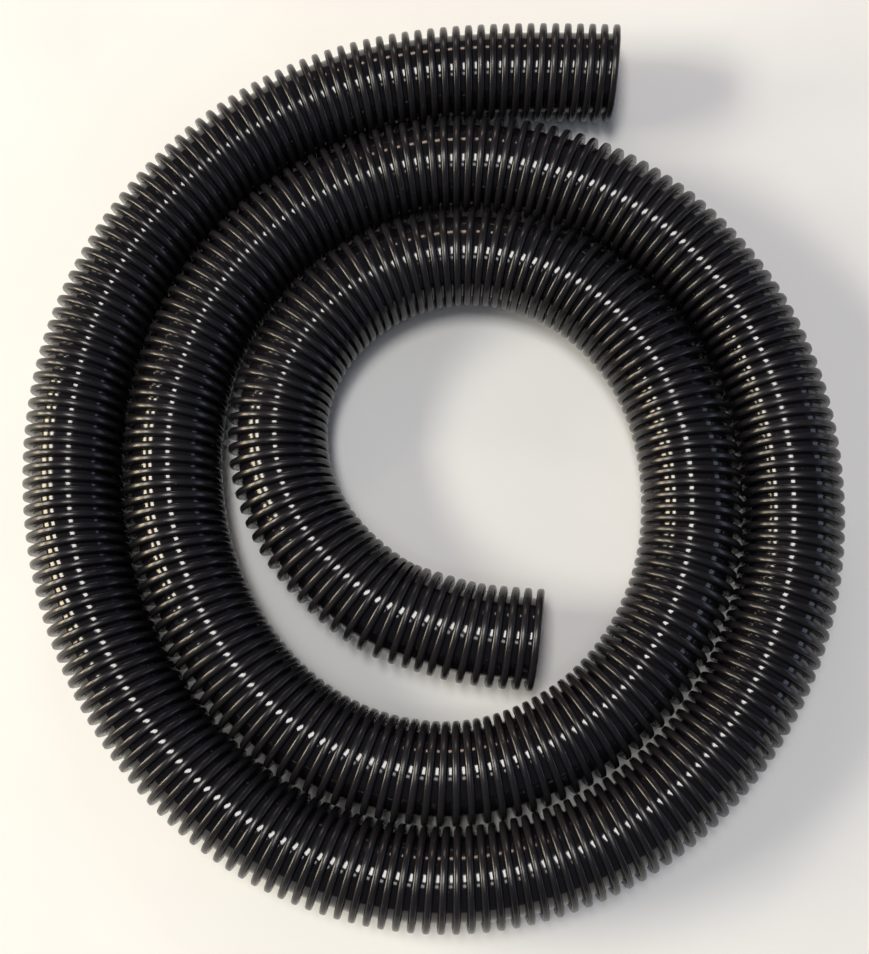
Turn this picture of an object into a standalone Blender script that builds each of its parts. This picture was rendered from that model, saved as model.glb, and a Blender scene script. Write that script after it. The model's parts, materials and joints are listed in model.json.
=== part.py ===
"""Ribbed vacuum hose of 38 mm bore, cut square at both ends and laid down in a flat coil.

The hose is wound from two strips that are fused together. A flat strip makes the thin wall
round the bore, and a raised bead makes the ribs that stand on it. The ribs run round the hose
as a left-hand helix, so the rib layer is modelled here as the sleeve that its crests fill.

Units are metres and +Z is up. The origin is on the floor, under the middle of the coil.
"""

import math

import bpy
from mathutils import Vector

MM = 0.001

# Section of the hose
BORE_RADIUS = 19.0 * MM
WALL = 0.8 * MM
RIB_HEIGHT = 4.5 * MM
GAP = 0.3 * MM
CREST_RADIUS = BORE_RADIUS + WALL + RIB_HEIGHT
WALL_RADIUS = BORE_RADIUS + WALL
SLEEVE = RIB_HEIGHT - GAP
BEVEL_RESOLUTION = 4
SIDES = 12
FLAT_DOWN = math.radians(180.0 / SIDES)

# The coil, from its outer end to its inner end, read anticlockwise from +X about the middle of
# the turns. The radii are those of the centreline, one every 30 degrees, starting and ending one
# step outside the stretch that is used.
RADIUS_STEP = 30.0
RADII_FROM = 60.0
RADII = (
    214.5, 213.2, 208.7, 200.1, 190.5, 187.1, 188.2, 185.9, 177.0, 165.5, 158.1, 159.1,
    162.6, 163.8, 159.4, 150.5, 141.1, 138.0, 139.1, 136.4, 126.6, 115.5, 108.9, 109.9,
    113.4, 114.6, 109.6, 99.6, 85.4, 73.0, 68.0, 72.0,
)
COIL_FROM = 90.0
COIL_TO = 960.0
STATION_STEP = 15.0

# The free ends, which leave the coil on their own lines (X, Y from the middle of the turns)
OUTER_END = ((77.0, 212.0), (38.5, 213.0))
INNER_END = ((-17.5, -65.9), (0.2, -70.8), (18.2, -73.3), (36.0, -74.6))

# Where the hose is divided, as angles along the coil. Each end of the hose is free of the coil
# beyond a stretch that bends. The bend's axis stands part of the way along that stretch.
OUTER_TAIL_TO = 142.5
OUTER_FLEX_TO = 172.5
INNER_FLEX_FROM = 877.5
INNER_TAIL_FROM = 937.5
AXIS_SHARE = 0.4
COIL_STRETCHES = 12

WALL_COLOUR = (0.014, 0.012, 0.013)
RIB_COLOUR = (0.020, 0.017, 0.018)


def clear_scene():
    for old in list(bpy.data.objects):
        bpy.data.objects.remove(old, do_unlink=True)


def coil_radius(angle):
    """Radius of the centreline at an angle, on a smooth curve through RADII."""
    place = (angle - RADII_FROM) / RADIUS_STEP
    index = min(int(place), len(RADII) - 3)
    part = place - index
    before, start, end, after = RADII[index - 1:index + 3]
    slope = end - before
    bend = 2 * before - 5 * start + 4 * end - after
    twist = 3 * start - before - 3 * end + after
    return 0.5 * (2 * start + slope * part + bend * part ** 2 + twist * part ** 3) * MM


def coil_point(angle):
    turn = math.radians(angle)
    radius = coil_radius(angle)
    return Vector((radius * math.cos(turn), radius * math.sin(turn), CREST_RADIUS))


def end_points(pairs):
    return [Vector((x * MM, y * MM, CREST_RADIUS)) for x, y in pairs]


def middle_of_box(points):
    """Middle of the floor area that a hose of crest radius covers along the points."""
    lows, highs = [], []
    for axis in (0, 1):
        across = []
        for index, point in enumerate(points):
            before = points[max(index - 1, 0)]
            after = points[min(index + 1, len(points) - 1)]
            run = (after - before).normalized()
            side = CREST_RADIUS * abs(run[1 - axis])
            across += [point[axis] - side, point[axis] + side]
        lows.append(min(across))
        highs.append(max(across))
    return Vector(((lows[0] + highs[0]) / 2, (lows[1] + highs[1]) / 2, 0.0))


def hose_stations():
    """Centreline stations from the outer end to the inner end, with the coil angle of each."""
    steps = round((COIL_TO - COIL_FROM) / STATION_STEP)
    angles = [COIL_FROM + STATION_STEP * step for step in range(steps + 1)]
    before = [COIL_FROM - STATION_STEP * (len(OUTER_END) - i) for i in range(len(OUTER_END))]
    after = [COIL_TO + STATION_STEP * (i + 1) for i in range(len(INNER_END))]
    points = end_points(OUTER_END) + [coil_point(angle) for angle in angles]
    points += end_points(INNER_END)
    shift = middle_of_box(points)
    return [(angle, point - shift) for angle, point in zip(before + angles + after, points)]


def divide_point(stations, divide):
    """Middle of the straight run that a dividing angle falls in, and the run's direction."""
    for (low_angle, low), (high_angle, high) in zip(stations, stations[1:]):
        if low_angle < divide < high_angle:
            return (low + high) / 2, (high - low).normalized()
    return None


def stretch_points(stations, start, end):
    """The stations between two dividing angles, with half a gap left at each divide."""
    points = [point for angle, point in stations if start < angle < end]
    first = divide_point(stations, start)
    last = divide_point(stations, end)
    if first:
        points.insert(0, first[0] + first[1] * (GAP / 2))
    if last:
        points.append(last[0] - last[1] * (GAP / 2))
    return points


def new_material(name, colour, roughness):
    material = bpy.data.materials.new(name)
    material.use_nodes = True
    shader = material.node_tree.nodes["Principled BSDF"]
    shader.inputs["Base Color"].default_value = (*colour, 1.0)
    shader.inputs["Roughness"].default_value = roughness
    shader.inputs["Metallic"].default_value = 0.0
    return material


def tube(name, points, outer, thickness, material, collection):
    """An open-ended tube along the points, with flats of the given radius on every side."""
    data = bpy.data.curves.new(name, "CURVE")
    data.dimensions = "3D"
    data.twist_mode = "Z_UP"
    data.bevel_depth = outer / math.cos(FLAT_DOWN)
    data.bevel_resolution = BEVEL_RESOLUTION
    data.use_fill_caps = False
    spline = data.splines.new("POLY")
    spline.points.add(len(points) - 1)
    for spot, point in zip(spline.points, points):
        spot.co = (*point, 1.0)
        spot.tilt = FLAT_DOWN
    data.materials.append(material)
    piece = bpy.data.objects.new(name, data)
    collection.objects.link(piece)
    shell = piece.modifiers.new("wall", "SOLIDIFY")
    shell.thickness = thickness
    shell.offset = -1.0
    shell.use_even_offset = True
    return piece


def bend_axis(stations, fixed, free):
    """Where the axis of a bend stands, between the fixed and the free end of its stretch."""
    start = divide_point(stations, fixed)[0]
    end = divide_point(stations, free)[0]
    return start.lerp(end, AXIS_SHARE)


def pivot(name, place, collection):
    empty = bpy.data.objects.new(name, None)
    empty.location = place
    collection.objects.link(empty)
    return empty


def layers(name, points, number, collection, parent):
    """The wall and the ribs of one stretch of hose."""
    end = f"_{number:02d}" if number else ""
    kinds = (
        ("wall", WALL_RADIUS, WALL, WALL_COLOUR, 0.22),
        ("ribs", CREST_RADIUS, SLEEVE, RIB_COLOUR, 0.34),
    )
    for kind, outer, thickness, colour, roughness in kinds:
        label = f"{name}_{kind}{end}"
        origin = parent.location if parent else points[0]
        material = new_material(label, colour, roughness)
        local = [point - origin for point in points]
        piece = tube(label, local, outer, thickness, material, collection)
        if parent:
            piece.parent = parent
        else:
            piece.location = origin


def build():
    clear_scene()
    collection = bpy.data.collections.new("vacuum_hose")
    bpy.context.scene.collection.children.link(collection)
    stations = hose_stations()
    first = stations[0][0] - STATION_STEP
    last = stations[-1][0] + STATION_STEP
    outer_axis = bend_axis(stations, OUTER_FLEX_TO, OUTER_TAIL_TO)
    inner_axis = bend_axis(stations, INNER_FLEX_FROM, INNER_TAIL_FROM)
    outer_pivot = pivot("outer_end_pivot", outer_axis, collection)
    inner_pivot = pivot("inner_end_pivot", inner_axis, collection)

    def lay(name, start, end, number=0, parent=None):
        points = stretch_points(stations, start, end)
        layers(name, points, number, collection, parent)

    lay("outer_tail", first, OUTER_TAIL_TO, parent=outer_pivot)
    lay("outer_flex", OUTER_TAIL_TO, OUTER_FLEX_TO)
    span = (INNER_FLEX_FROM - OUTER_FLEX_TO) / STATION_STEP
    divides = [
        OUTER_FLEX_TO + STATION_STEP * round(span * number / COIL_STRETCHES)
        for number in range(COIL_STRETCHES + 1)
    ]
    for number, (start, end) in enumerate(zip(divides, divides[1:]), start=1):
        lay("coil", start, end, number)
    lay("inner_flex", INNER_FLEX_FROM, INNER_TAIL_FROM)
    lay("inner_tail", INNER_TAIL_FROM, last, parent=inner_pivot)


build()
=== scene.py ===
"""Looks of a black ribbed vacuum hose of 38 mm bore, cut at both ends and laid in a flat coil.

The hose is wound from two strips fused together: a thin glossy wall round the bore, and a raised
bead that runs round it as a left-hand helix and makes the ribs. Each is built here as meshes
along one smooth centreline, from the outer end of the hose (distance 0) to its inner end.

Units are metres, +Z is up, and the hose lies on the floor at Z = 0.
"""

import json
import math

import bmesh
import bpy
import numpy as np
from mathutils import Matrix, Vector


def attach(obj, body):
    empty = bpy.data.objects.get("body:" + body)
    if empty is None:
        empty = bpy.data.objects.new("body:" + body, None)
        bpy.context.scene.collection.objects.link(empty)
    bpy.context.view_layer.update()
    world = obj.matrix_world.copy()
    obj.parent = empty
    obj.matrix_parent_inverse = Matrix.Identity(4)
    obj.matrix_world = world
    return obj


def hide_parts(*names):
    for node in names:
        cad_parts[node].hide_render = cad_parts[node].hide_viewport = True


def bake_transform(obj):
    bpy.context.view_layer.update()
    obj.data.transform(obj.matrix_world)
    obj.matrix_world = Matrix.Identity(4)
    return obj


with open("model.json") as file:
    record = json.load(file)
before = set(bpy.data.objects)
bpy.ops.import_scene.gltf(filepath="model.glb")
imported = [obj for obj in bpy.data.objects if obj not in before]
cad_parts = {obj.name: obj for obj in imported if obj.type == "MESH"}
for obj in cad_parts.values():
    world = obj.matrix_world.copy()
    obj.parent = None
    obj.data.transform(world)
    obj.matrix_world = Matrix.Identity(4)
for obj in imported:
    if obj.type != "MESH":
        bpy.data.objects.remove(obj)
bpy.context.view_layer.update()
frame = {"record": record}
MM = 0.001

# Section of the hose
BORE_RADIUS = 19.0 * MM
WALL_RADIUS = 19.8 * MM
CREST_RADIUS = 24.3 * MM
RIB_PITCH = 6.07 * MM
# Half of the bead's outline, from its foot in the wall to its crest: distance from the middle of
# the bead and height above the wall (mm)
RIB_OUTLINE = (
    (2.10, -0.15), (1.95, 0.15), (1.86, 0.8), (1.80, 2.6), (1.70, 3.4), (1.46, 4.0), (1.08, 4.36),
    (0.60, 4.5),
)
# Half of the wall strip's outer face, from the middle of the groove: distance from that middle and
# height above the wall's radius (mm)
WALL_OUTLINE = ((0.0, 0.0), (0.45, 0.006), (0.85, 0.022), (1.15, 0.045))
# Both ends are cut along the groove beside the last rib, so the cuts slant by the helix's slope
CUT_INSET = 1.9 * MM
CUT_SLOPE = RIB_PITCH / (4 * CREST_RADIUS)

# Route of the hose, the same as in the CAD model: radii of the centreline about the middle of the
# turns, one every 30 degrees from 60 degrees on, and the points of the two free ends (mm)
RADIUS_STEP = 30.0
RADII_FROM = 60.0
RADII = (
    214.5, 213.2, 208.7, 200.1, 190.5, 187.1, 188.2, 185.9, 177.0, 165.5, 158.1, 159.1,
    162.6, 163.8, 159.4, 150.5, 141.1, 138.0, 139.1, 136.4, 126.6, 115.5, 108.9, 109.9,
    113.4, 114.6, 109.6, 99.6, 85.4, 73.0, 68.0, 72.0,
)
COIL_FROM = 90.0
COIL_TO = 960.0
STATION_STEP = 15.0
OUTER_END = ((77.0, 212.0), (38.5, 213.0))
INNER_END = ((-17.5, -65.9), (0.2, -70.8), (18.2, -73.3), (36.0, -74.6))
MIDDLE = (-16.2, 13.6)
# The solids of the CAD model keep clear of each other. The real turns touch, so each turn lies this
# much nearer to the turn outside it than in the CAD model (mm)
CLOSER = 1.0
MIDDLE_ANGLE = 525.0

# Where the pieces meet, as angles along the coil, and the start and end of the two bends (mm)
OUTER_PIECE_TO = 195.0
INNER_PIECE_FROM = 810.0
BENDS = {
    "outer_end": ((-173.2, 11.6, 24.3), (-142.8, 108.8, 24.3)),
    "inner_end": ((-59.0, 23.3, 24.3), (-59.0, -56.4, 24.3)),
}

# Fineness of the meshes
LINE_STEP = 0.25 * MM
CORD_STEP = 5.0 * MM
WALL_SIDES = 32
RIB_SIDES = 40
COIL_BEADS = 3
RUN_PAST_END = 10.0 * MM
SHARP_ANGLE = math.radians(50.0)
WELD = 0.001 * MM

# Finishes: colours are linear, DIE_LINES is how often lines come across and along the bead (1/m)
WALL_DARK, WALL_LIGHT = (0.0068, 0.0062, 0.0084), (0.0105, 0.0095, 0.0125)
RIB_DARK, RIB_LIGHT = (0.0080, 0.0073, 0.0092), (0.0135, 0.0122, 0.0145)
PLASTIC_SPECULAR = 0.45
DIE_LINES = (1600.0, 18.0, 1.0)
DUST_SCALE = 500.0
DUST_COLOUR = (0.060, 0.054, 0.048)
FLOOR_DARK, FLOOR_LIGHT = (0.92, 0.92, 0.91), (0.96, 0.96, 0.95)
FLOOR_SIZE = 8.0

# Camera: lens (mm), place (m) and tilt about X and Y (degrees)
CAMERA_LENS = 60.38
CAMERA_PLACE = (0.0242, -0.1559, 0.7842)
CAMERA_TILT = (10.90, 1.63)

# Lamps: lean from the vertical, bearing, distance (m), size (m), brightness and colour
LAMPS = {
    "ceiling_lamp": (6.0, 145.0, 4.2, (0.74, 1.36), 21.0, (1.0, 0.98, 0.95)),
    "window_high": (55.0, 178.0, 3.6, (0.56, 1.8), 22.0, (1.0, 0.94, 0.80)),
    "window_low": (76.0, 178.0, 3.6, (0.80, 1.8), 20.0, (1.0, 0.84, 0.58)),
    "door": (71.0, 0.0, 3.6, (1.0, 3.2), 1.6, (0.66, 0.76, 1.0)),
    "far_wall": (60.0, 95.0, 3.6, (0.8, 0.44), 9.0, (1.0, 0.76, 0.62)),
    "near_wall": (17.0, 262.0, 3.6, (0.6, 0.44), 7.0, (0.95, 0.98, 1.0)),
}
ROOM_COLOUR = (0.85, 0.85, 1.0)
ROOM_BRIGHTNESS = 0.12


def coil_radius(angle):
    """Radius of the centreline at an angle, on a smooth curve through RADII."""
    place = (angle - RADII_FROM) / RADIUS_STEP
    index = min(int(place), len(RADII) - 3)
    part = place - index
    before, start, end, after = RADII[index - 1:index + 3]
    slope = end - before
    bend = 2 * before - 5 * start + 4 * end - after
    twist = 3 * start - before - 3 * end + after
    radius = 0.5 * (2 * start + slope * part + bend * part ** 2 + twist * part ** 3)
    return radius + CLOSER * (angle - MIDDLE_ANGLE) / 360


def coil_point(angle):
    turn = math.radians(angle)
    radius = coil_radius(angle)
    return (radius * math.cos(turn), radius * math.sin(turn))


def stations():
    """Centreline stations (X, Y) from the outer end to the inner end, at the CAD model's angles."""
    steps = round((COIL_TO - COIL_FROM) / STATION_STEP)
    coil = [coil_point(COIL_FROM + STATION_STEP * step) for step in range(steps + 1)]
    points = list(OUTER_END) + coil + list(INNER_END)
    return (np.array(points) - MIDDLE) * MM


def natural_spline(points, step):
    """Points about a step apart along a smooth curve through the given points."""
    count = len(points)
    runs = np.linalg.norm(np.diff(points, axis=0), axis=1)
    knots = np.concatenate([[0.0], np.cumsum(runs)])
    slopes = np.diff(points, axis=0) / runs[:, None]
    matrix = np.eye(count)
    right = np.zeros((count, 2))
    for i in range(1, count - 1):
        matrix[i, i - 1:i + 2] = runs[i - 1], 2 * (runs[i - 1] + runs[i]), runs[i]
        right[i] = 6 * (slopes[i] - slopes[i - 1])
    bends = np.linalg.solve(matrix, right)
    place = np.linspace(0.0, knots[-1], round(knots[-1] / step) + 1)
    index = np.clip(np.searchsorted(knots, place, side="right") - 1, 0, count - 2)
    run = runs[index][:, None]
    left = knots[index + 1][:, None] - place[:, None]
    gone = place[:, None] - knots[index][:, None]
    start = points[index] / run - bends[index] * run / 6
    end = points[index + 1] / run - bends[index + 1] * run / 6
    cubes = (bends[index] * left ** 3 + bends[index + 1] * gone ** 3) / (6 * run)
    return cubes + start * left + end * gone


class Centreline:
    """The hose's centreline by distance from the outer end, run on straight past both ends."""

    def __init__(self, points):
        head = points[0] - points[1]
        tail = points[-1] - points[-2]
        head *= RUN_PAST_END / np.linalg.norm(head)
        tail *= RUN_PAST_END / np.linalg.norm(tail)
        self.points = np.vstack([points[0] + head, points, points[-1] + tail])
        runs = np.linalg.norm(np.diff(self.points, axis=0), axis=1)
        self.gone = np.concatenate([[0.0], np.cumsum(runs)]) - RUN_PAST_END
        self.length = self.gone[-1] - RUN_PAST_END
        along = np.gradient(self.points, self.gone, axis=0)
        self.headings = np.unwrap(np.arctan2(along[:, 1], along[:, 0]))
        self.bends = np.gradient(self.headings, self.gone)

    def curvature(self, distance):
        return np.interp(distance, self.gone, self.bends)

    def surface(self, distance, radius, angle):
        """Points at a distance along the hose and a radius, at an angle from its left to its top."""
        heading = np.interp(distance, self.gone, self.headings)
        side = radius * np.cos(angle)
        x = np.interp(distance, self.gone, self.points[:, 0]) - side * np.sin(heading)
        y = np.interp(distance, self.gone, self.points[:, 1]) + side * np.cos(heading)
        z = np.broadcast_to(CREST_RADIUS + radius * np.sin(angle), x.shape)
        return np.stack([x, y, z], axis=-1)

    def nearest(self, point):
        """Distance along the hose at which it passes a point."""
        return self.gone[np.argmin(np.linalg.norm(self.points - point, axis=1))]


LINE = Centreline(natural_spline(stations(), LINE_STEP))
RIB_TURNS = round((LINE.length - 2 * CUT_INSET) / RIB_PITCH)
TRUE_PITCH = (LINE.length - 2 * CUT_INSET) / RIB_TURNS


def coil_distance(angle):
    """Distance along the hose at an angle of the coil."""
    return LINE.nearest((np.array(coil_point(angle)) - MIDDLE) * MM)


def new_mesh(name, rings, material, marks=None):
    """A capped tube through the rings, an array of rings x points x XYZ. The marks are named
    values on its points, which its material reads."""
    count, sides, _ = rings.shape
    lower = np.arange(count - 1)[:, None] * sides
    near = np.arange(sides)[None, :]
    far = (near + 1) % sides
    corners = [lower + near, lower + far, lower + sides + far, lower + sides + near]
    faces = np.stack(corners, axis=-1).reshape(-1, 4).tolist()
    faces.append(list(range(sides))[::-1])
    faces.append(list(range((count - 1) * sides, count * sides)))
    mesh = bpy.data.meshes.new(name)
    mesh.from_pydata(rings.reshape(-1, 3).tolist(), [], faces)
    for label, values in (marks or {}).items():
        mark = mesh.attributes.new(label, "FLOAT", "POINT")
        mark.data.foreach_set("value", values.astype(np.float32).ravel())
    cleaned = bmesh.new()
    cleaned.from_mesh(mesh)
    bmesh.ops.remove_doubles(cleaned, verts=cleaned.verts, dist=WELD)
    bmesh.ops.dissolve_degenerate(cleaned, edges=cleaned.edges, dist=WELD)
    cleaned.to_mesh(mesh)
    cleaned.free()
    mesh.shade_smooth()
    mesh.set_sharp_from_angle(angle=SHARP_ANGLE)
    mesh.materials.append(material)
    piece = bpy.data.objects.new(name, mesh)
    bpy.context.scene.collection.objects.link(piece)
    return piece


def wall_strip(name, first_turn, last_turn, material):
    """The wall's strip from one turn to another. Its middle is the floor of the groove, and its
    edges meet under the bead, half a turn's advance further on."""
    half = np.vstack([WALL_OUTLINE, (TRUE_PITCH / (2 * MM), WALL_OUTLINE[-1][1])]) * MM
    outside = np.concatenate([half[:0:-1] * (-1, 1), half])
    across = np.concatenate([outside[:, 0], outside[[-1, 0], 0]])[None, :]
    radius = np.concatenate([WALL_RADIUS + outside[:, 1], (BORE_RADIUS, BORE_RADIUS)])[None, :]
    steps = round((last_turn - first_turn) * WALL_SIDES)
    turn = np.linspace(first_turn, last_turn, steps + 1)[:, None]
    middle = CUT_INSET + TRUE_PITCH * (turn + 0.5)
    angle = 0.5 * np.pi - 2 * np.pi * turn
    distance = middle + across / (1 - LINE.curvature(middle) * radius * np.cos(angle))
    slant = CUT_SLOPE * radius * np.cos(angle)
    low, high = slant, LINE.length + slant
    there = np.flatnonzero(((distance > low) & (distance < high)).any(axis=1))
    used = slice(max(there[0] - 1, 0), there[-1] + 2)
    distance = np.clip(distance, low, high)
    return new_mesh(name, LINE.surface(distance[used], radius, angle[used]), material)


def trimmed(distance, radius, angle, cut, keep):
    """Rings of the bead with what lies past a cut laid flat on it, and which rings are on the
    kept side at all. keep is 1 to keep what lies beyond the cut, and -1 what lies before it."""
    slant = CUT_SLOPE * np.cos(angle)
    inside = keep * (distance - cut - slant * radius)
    flat = inside < 0
    kept = np.count_nonzero(~flat, axis=1)
    last = np.clip(kept - 1, 0, flat.shape[1] - 2)
    row = np.arange(len(last))
    ordered = inside[:, ::-keep]
    heights = radius[:, ::-keep]
    near, far = ordered[row, last], ordered[row, last + 1]
    low, high = heights[row, last], heights[row, last + 1]
    crossing = low + (high - low) * near / (near - far)
    crossing = np.where(kept == 0, radius.min(), crossing)
    radius = np.where(flat, np.minimum(radius, crossing[:, None]), radius)
    distance = np.where(flat, cut + slant * radius, distance)
    return distance, radius, kept > 0


def rib_bead(name, first_turn, last_turn, material):
    """The bead from one turn to another, counted from the rib beside the outer cut."""
    half = np.array(RIB_OUTLINE) * MM
    outline = np.concatenate([half * (-1, 1), half[::-1]])
    across = outline[:, 0][None, :]
    radius = WALL_RADIUS + outline[:, 1][None, :]
    girth = np.cumsum(np.linalg.norm(np.diff(outline, axis=0, prepend=outline[:1]), axis=1))
    steps = round((last_turn - first_turn) * RIB_SIDES)
    turn = np.linspace(first_turn, last_turn, steps + 1)[:, None]
    middle = CUT_INSET + TRUE_PITCH * turn
    angle = 0.5 * np.pi - 2 * np.pi * turn
    distance = middle + across / (1 - LINE.curvature(middle) * radius * np.cos(angle))
    radius = np.broadcast_to(radius, distance.shape)
    distance, radius, past_first = trimmed(distance, radius, angle, 0.0, 1)
    distance, radius, before_last = trimmed(distance, radius, angle, LINE.length, -1)
    there = np.flatnonzero(past_first & before_last)
    used = slice(max(there[0] - 1, 0), there[-1] + 2)
    rings = LINE.surface(distance[used], radius[used], angle[used])
    marks = {
        "bead_across": np.broadcast_to(girth, rings.shape[:2]),
        "bead_along": np.broadcast_to(2 * np.pi * CREST_RADIUS * turn[used], rings.shape[:2]),
    }
    return new_mesh(name, rings, material, marks)


def settle(piece, body):
    """Attaches a piece to its body, except on the two end bodies, whose pieces keep no parent and
    have their placement baked into the mesh.
    """
    if body in BENDS:
        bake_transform(piece)
    else:
        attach(piece, body)


def declare_hose(start, end):
    """Works out a path along the centreline of a stretch of hose, a CORD_STEP apart; nothing further
    is done with it.
    """
    count = round((end - start) / CORD_STEP) + 1
    path = LINE.surface(np.linspace(start, end, count), 0.0, 0.0)
    if start == 0.0:
        path = path[::-1]


def stretch_of_hose(body, start, end, bead_pieces, finishes):
    """The wall and the bead of one stretch, from one distance along the hose to another."""
    first = (start - CUT_INSET) / TRUE_PITCH if start > 0.0 else -1.0
    last = (end - CUT_INSET) / TRUE_PITCH if end < LINE.length else RIB_TURNS + 1.0
    wall = wall_strip(f"{body}_wall", first - 0.5, last - 0.5, finishes["wall"])
    turns = np.linspace(first, last, bead_pieces + 1)
    beads = [
        rib_bead(f"{body}_ribs_{number}", one, other, finishes["ribs"])
        for number, (one, other) in enumerate(zip(turns, turns[1:]), start=1)
    ]
    for piece in [wall] + beads:
        settle(piece, body)
    nodes = frame["record"]["behaviour"]["bodies"][body]
    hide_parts(*[node for node in nodes if "wall" in node])
    for bead in beads:
        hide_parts(*[node for node in nodes if "ribs" in node])
    declare_hose(start, end)


def new_material(name):
    """A material, with its node tree and its shader."""
    material = bpy.data.materials.new(name)
    material.use_nodes = True
    return material, material.node_tree, material.node_tree.nodes["Principled BSDF"]


def add_node(tree, kind, values=None, links=None):
    """A new node with the given values on its sockets and the given outputs linked to them."""
    node = tree.nodes.new(kind)
    for socket, value in (values or {}).items():
        node.inputs[socket].default_value = value
    for socket, source in (links or {}).items():
        tree.links.new(source, node.inputs[socket])
    return node


def noise(tree, place, scale, detail):
    values = {"Scale": scale, "Detail": detail}
    return add_node(tree, "ShaderNodeTexNoise", values, {"Vector": place}).outputs["Fac"]


def mapped(tree, factor, lows_and_highs):
    """A factor carried from one range to another, given as (from low, from high, low, high)."""
    names = ("From Min", "From Max", "To Min", "To Max")
    values = dict(zip(names, lows_and_highs))
    return add_node(tree, "ShaderNodeMapRange", values, {"Value": factor}).outputs["Result"]


def two_tone(tree, factor, one, other):
    """A colour between two, by a factor."""
    ramp = add_node(tree, "ShaderNodeValToRGB", links={"Fac": factor})
    for element, place, colour in zip(ramp.color_ramp.elements, (0.35, 0.65), (one, other)):
        element.position = place
        element.color = (*colour, 1.0)
    return ramp.outputs["Color"]


def dusted(tree, colour, place):
    """A colour with sparse specks of dust on it."""
    amount = mapped(tree, noise(tree, place, DUST_SCALE, 3.0), (0.68, 0.78, 0.0, 1.0))
    mix = tree.nodes.new("ShaderNodeMix")
    mix.data_type = "RGBA"
    factor, first, second = (mix.inputs[i] for i in (0, 6, 7))
    second.default_value = (*DUST_COLOUR, 1.0)
    tree.links.new(amount, factor)
    tree.links.new(colour, first)
    return mix.outputs[2]


def finish_plastic(tree, shader, colour, roughness, height, bump):
    """Sets a plastic's colour and roughness, and bumps it by a height (strength, distance)."""
    strength, distance = bump
    values = {"Strength": strength, "Distance": distance}
    normal = add_node(tree, "ShaderNodeBump", values, {"Height": height}).outputs["Normal"]
    tree.links.new(colour, shader.inputs["Base Color"])
    tree.links.new(roughness, shader.inputs["Roughness"])
    tree.links.new(normal, shader.inputs["Normal"])
    shader.inputs["Specular IOR Level"].default_value = PLASTIC_SPECULAR


def wall_plastic():
    """Glossy black plastic with a slightly wavy surface."""
    material, tree, shader = new_material("hose_wall_gloss")
    place = add_node(tree, "ShaderNodeTexCoord").outputs["Object"]
    patches = noise(tree, place, 30.0, 2.0)
    colour = dusted(tree, two_tone(tree, patches, WALL_DARK, WALL_LIGHT), place)
    roughness = mapped(tree, patches, (0.3, 0.7, 0.07, 0.13))
    finish_plastic(tree, shader, colour, roughness, noise(tree, place, 160.0, 2.0), (0.3, 0.1 * MM))
    return material


def rib_plastic():
    """Satin black plastic with fine lines along the bead, from the die that it was drawn through."""
    material, tree, shader = new_material("hose_rib_satin")
    place = add_node(tree, "ShaderNodeTexCoord").outputs["Object"]
    bead = {
        axis: add_named(tree, label) for axis, label in (("X", "bead_across"), ("Y", "bead_along"))
    }
    on_bead = add_node(tree, "ShaderNodeCombineXYZ", links=bead).outputs["Vector"]
    stretch = add_node(tree, "ShaderNodeMapping", {"Scale": DIE_LINES}, {"Vector": on_bead})
    lines = noise(tree, stretch.outputs["Vector"], 1.0, 2.0)
    patches = noise(tree, place, 22.0, 2.0)
    colour = dusted(tree, two_tone(tree, patches, RIB_DARK, RIB_LIGHT), place)
    roughness = mapped(tree, lines, (0.3, 0.7, 0.22, 0.32))
    finish_plastic(tree, shader, colour, roughness, lines, (0.4, 0.05 * MM))
    return material


def add_named(tree, label):
    """A value that the mesh carries on its points."""
    node = tree.nodes.new("ShaderNodeAttribute")
    node.attribute_name = label
    return node.outputs["Fac"]


def build_hose():
    finishes = {"wall": wall_plastic(), "ribs": rib_plastic()}
    outer_to = coil_distance(OUTER_PIECE_TO)
    inner_from = coil_distance(INNER_PIECE_FROM)
    stretch_of_hose("outer_end", 0.0, outer_to, 1, finishes)
    stretch_of_hose("coil", outer_to, inner_from, COIL_BEADS, finishes)
    stretch_of_hose("inner_end", inner_from, LINE.length, 1, finishes)


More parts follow.
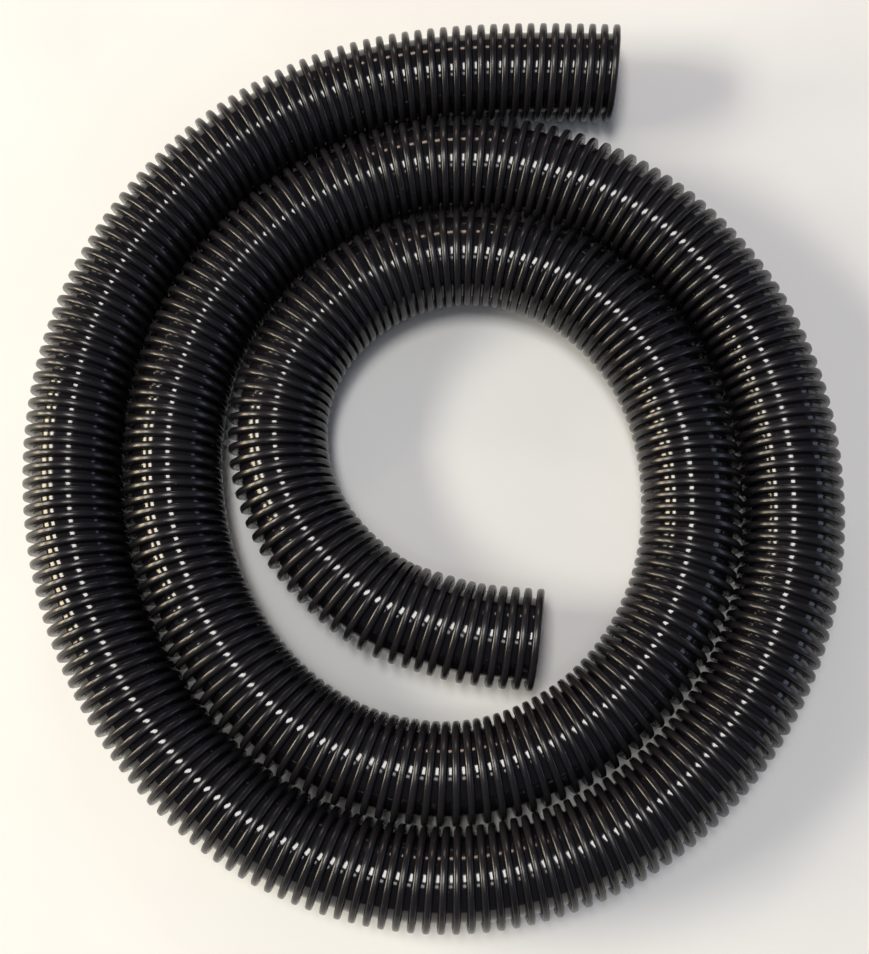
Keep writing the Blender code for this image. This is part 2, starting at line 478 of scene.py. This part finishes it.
def build_floor():
    half = FLOOR_SIZE / 2
    corners = [(-half, -half, 0), (half, -half, 0), (half, half, 0), (-half, half, 0)]
    mesh = bpy.data.meshes.new("floor")
    mesh.from_pydata(corners, [], [(0, 1, 2, 3)])
    material, tree, shader = new_material("pale_floor")
    place = add_node(tree, "ShaderNodeTexCoord").outputs["Object"]
    patches = noise(tree, place, 9.0, 3.0)
    tree.links.new(two_tone(tree, patches, FLOOR_DARK, FLOOR_LIGHT), shader.inputs["Base Color"])
    tree.links.new(mapped(tree, patches, (0.3, 0.7, 0.5, 0.6)), shader.inputs["Roughness"])
    mesh.materials.append(material)
    floor = bpy.data.objects.new("floor", mesh)
    bpy.context.scene.collection.objects.link(floor)


def build_camera():
    data = bpy.data.cameras.new("camera")
    data.lens = CAMERA_LENS
    data.clip_start = 0.01
    eye = bpy.data.objects.new("camera", data)
    pitch, roll = (math.radians(angle) for angle in CAMERA_TILT)
    turn = Matrix.Rotation(pitch, 4, "X") @ Matrix.Rotation(roll, 4, "Y")
    eye.matrix_world = Matrix.Translation(CAMERA_PLACE) @ turn
    bpy.context.scene.collection.objects.link(eye)
    bpy.context.scene.camera = eye


def area_light(name, lean, bearing, distance, size, brightness, colour):
    """A rectangular lamp aimed at the coil, which stands where a line leaning from the vertical
    towards a bearing comes (degrees, anticlockwise from +X). Its sides lie along X and Y before it
    leans."""
    width, height = size
    data = bpy.data.lights.new(name, "AREA")
    data.shape = "RECTANGLE"
    data.size = width
    data.size_y = height
    data.energy = brightness * math.pi * width * height
    data.color = colour
    lamp = bpy.data.objects.new(name, data)
    heading = Matrix.Rotation(math.radians(bearing), 4, "Z")
    turn = heading @ Matrix.Rotation(math.radians(lean), 4, "Y") @ heading.inverted()
    lamp.matrix_world = turn @ Matrix.Translation((0.0, 0.0, distance))
    lamp.visible_camera = False
    bpy.context.scene.collection.objects.link(lamp)


def build_light():
    for name, settings in LAMPS.items():
        area_light(name, *settings)
    world = bpy.data.worlds.new("room")
    world.use_nodes = True
    background = world.node_tree.nodes["Background"]
    background.inputs["Color"].default_value = (*ROOM_COLOUR, 1.0)
    background.inputs["Strength"].default_value = ROOM_BRIGHTNESS
    bpy.context.scene.world = world


build_hose()
build_floor()
build_camera()
build_light()
bpy.context.scene.view_settings.view_transform = "Standard"
